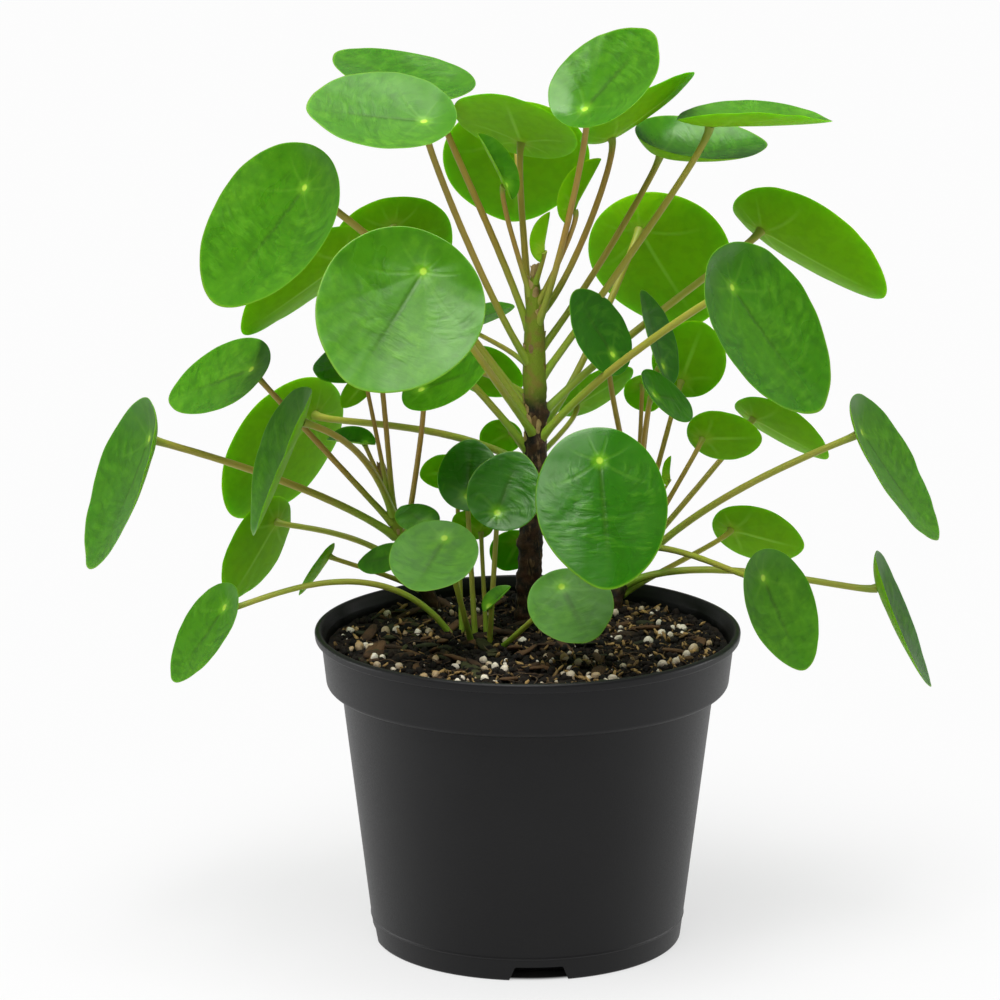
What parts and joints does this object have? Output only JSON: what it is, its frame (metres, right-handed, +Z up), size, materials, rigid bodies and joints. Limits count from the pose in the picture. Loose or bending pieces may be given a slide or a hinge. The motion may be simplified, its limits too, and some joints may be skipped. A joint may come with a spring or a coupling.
{
  "type": "potted pilea plant",
  "caption": "Potted pilea: round leaves on long petioles, a woody main stem, side shoots and a young plantlet in potting mix in a plain black nursery pot.",
  "frame": {"origin": "middle of the pot's underside, on the surface it stands on", "axes": "+Z up along the pot's axis, -Y towards the front of the plant, +X to the right as the front is seen"},
  "size_m": [0.3199, 0.2076, 0.3341],
  "materials": {
    "pot": "black injection-moulded plastic with a soft satin sheen",
    "soil": "dark moist potting mix with bark slivers and white perlite",
    "stems": "brown woody stem with leaf scars, green and smooth near the tip",
    "leaves": "smooth waxy green leaf, paler underneath, with a pale dot where the petiole joins"
  },
  "bodies": {
    "root": {"pot": "pot", "soil": "soil", "main_stem": "stems", "left_stem": "stems", "right_stem": "stems", "leaf_main_stem_01": "leaves", "leaf_main_stem_02": "leaves", "leaf_main_stem_03": "leaves", "leaf_main_stem_04": "leaves", "leaf_main_stem_05": "leaves", "leaf_main_stem_06": "leaves", "leaf_main_stem_07": "leaves", "leaf_main_stem_08": "leaves", "leaf_main_stem_09": "leaves", "leaf_main_stem_10": "leaves", "leaf_main_stem_11": "leaves", "leaf_main_stem_12": "leaves", "leaf_main_stem_13": "leaves", "leaf_main_stem_14": "leaves", "leaf_main_stem_15": "leaves", "leaf_main_stem_16": "leaves", "leaf_main_stem_17": "leaves", "leaf_main_stem_18": "leaves", "leaf_main_stem_19": "leaves", "leaf_main_stem_20": "leaves", "leaf_main_stem_21": "leaves", "leaf_main_stem_22": "leaves", "leaf_main_stem_23": "leaves", "leaf_main_stem_24": "leaves", "leaf_main_stem_25": "leaves", "leaf_left_stem_01": "leaves", "leaf_left_stem_02": "leaves", "leaf_left_stem_03": "leaves", "leaf_left_stem_04": "leaves", "leaf_left_stem_05": "leaves", "leaf_left_stem_06": "leaves", "leaf_left_stem_07": "leaves", "leaf_left_stem_08": "leaves", "leaf_left_stem_09": "leaves", "leaf_left_stem_10": "leaves", "leaf_left_stem_11": "leaves", "leaf_right_stem_01": "leaves", "leaf_right_stem_02": "leaves", "leaf_right_stem_03": "leaves", "leaf_right_stem_04": "leaves", "leaf_right_stem_05": "leaves", "leaf_right_stem_06": "leaves", "leaf_right_stem_07": "leaves", "leaf_right_stem_08": "leaves", "leaf_right_stem_09": "leaves", "leaf_right_stem_10": "leaves", "leaf_right_stem_11": "leaves", "leaf_plantlet_01": "leaves", "leaf_plantlet_02": "leaves", "leaf_plantlet_03": "leaves", "leaf_plantlet_04": "leaves", "leaf_plantlet_05": "leaves", "leaf_plantlet_06": "leaves", "leaf_plantlet_07": "leaves", "leaf_plantlet_08": "leaves"}
  },
  "joints": []
}
